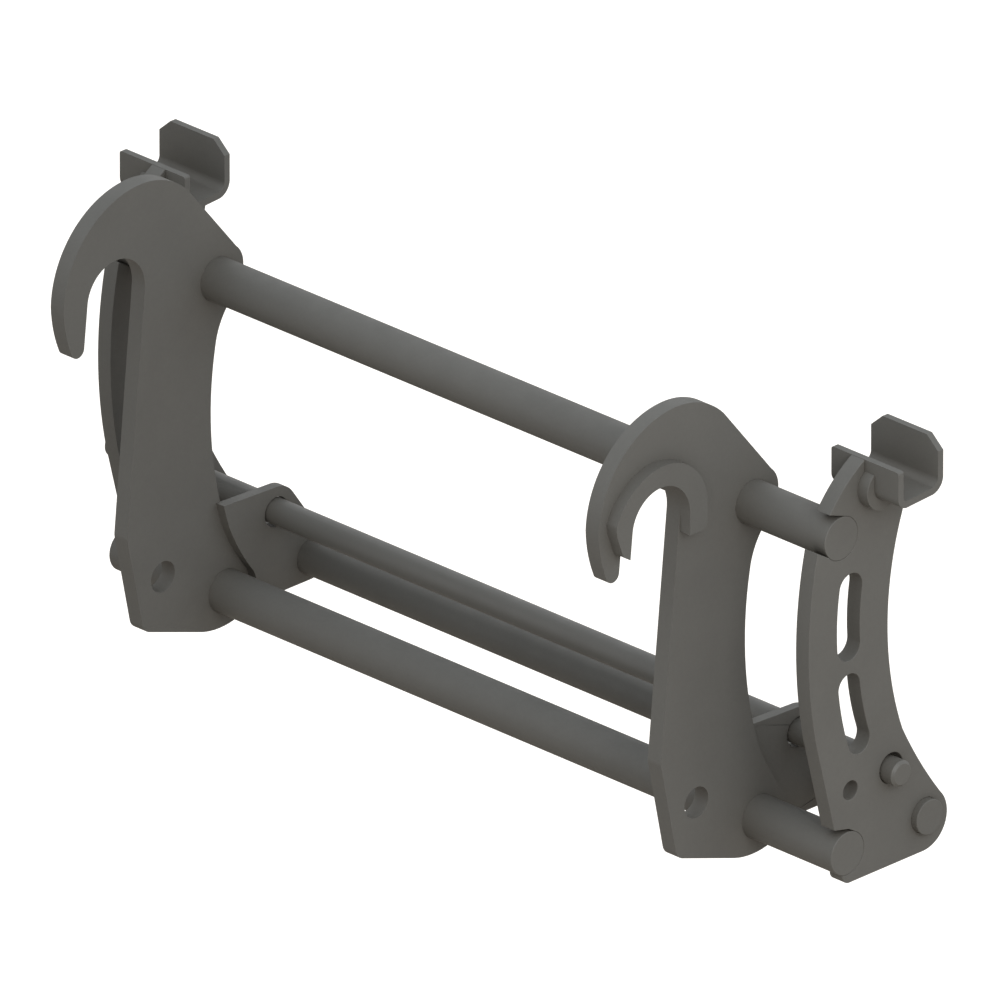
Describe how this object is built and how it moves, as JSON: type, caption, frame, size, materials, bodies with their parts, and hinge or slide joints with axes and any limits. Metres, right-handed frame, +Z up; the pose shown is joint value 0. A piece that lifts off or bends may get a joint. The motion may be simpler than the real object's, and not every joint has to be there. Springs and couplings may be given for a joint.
{
  "type": "loader adapter frame",
  "caption": "Welded steel adapter frame with downward hooks for a loader's cross shaft, and upper trays and a long locking rod for a tool with other brackets.",
  "frame": {"origin": "on the axis of the cross shaft that the hooks sit on, midway between the two hook plates", "axes": "+X along the bars to the side with the hook collar, +Y from the loader towards the tool, +Z up"},
  "size_m": [1.232, 0.3935, 0.5629],
  "materials": {
    "frame_steel": "matte",
    "rod_steel": "matte",
    "pin_steel": "satin"
  },
  "bodies": {
    "frame": {"top_bar": "frame_steel", "front_bar": "frame_steel", "rear_bar": "frame_steel", "hook_plate_right": "frame_steel", "hook_plate_left": "frame_steel", "hook_collar": "frame_steel", "lug_plate_right": "frame_steel", "lug_plate_left": "frame_steel", "outer_plate_right": "frame_steel", "outer_plate_left": "frame_steel", "tray_right": "frame_steel", "tray_left": "frame_steel", "tray_ear_right": "frame_steel", "tray_ear_left": "frame_steel"},
    "rod": {"locking_rod": "rod_steel"},
    "pin": {"linch_pin": "pin_steel"},
    "ring": {"linch_ring": "pin_steel"}
  },
  "joints": [
    {"name": "rod_slide", "type": "slide", "parent": "frame", "child": "rod", "axis": [-1, 0, 0], "range_m": [-0.068, 1.08]},
    {"name": "pin_lift", "type": "slide", "parent": "rod", "child": "pin", "axis": [0, 0, 1], "range_m": [0, 0.01]},
    {"name": "ring_swing", "type": "hinge", "parent": "pin", "child": "ring", "pos_m": [-0.606, 0.2288, -0.2998], "axis": [0, 1, 0], "range_deg": [0, 170]}
  ]
}
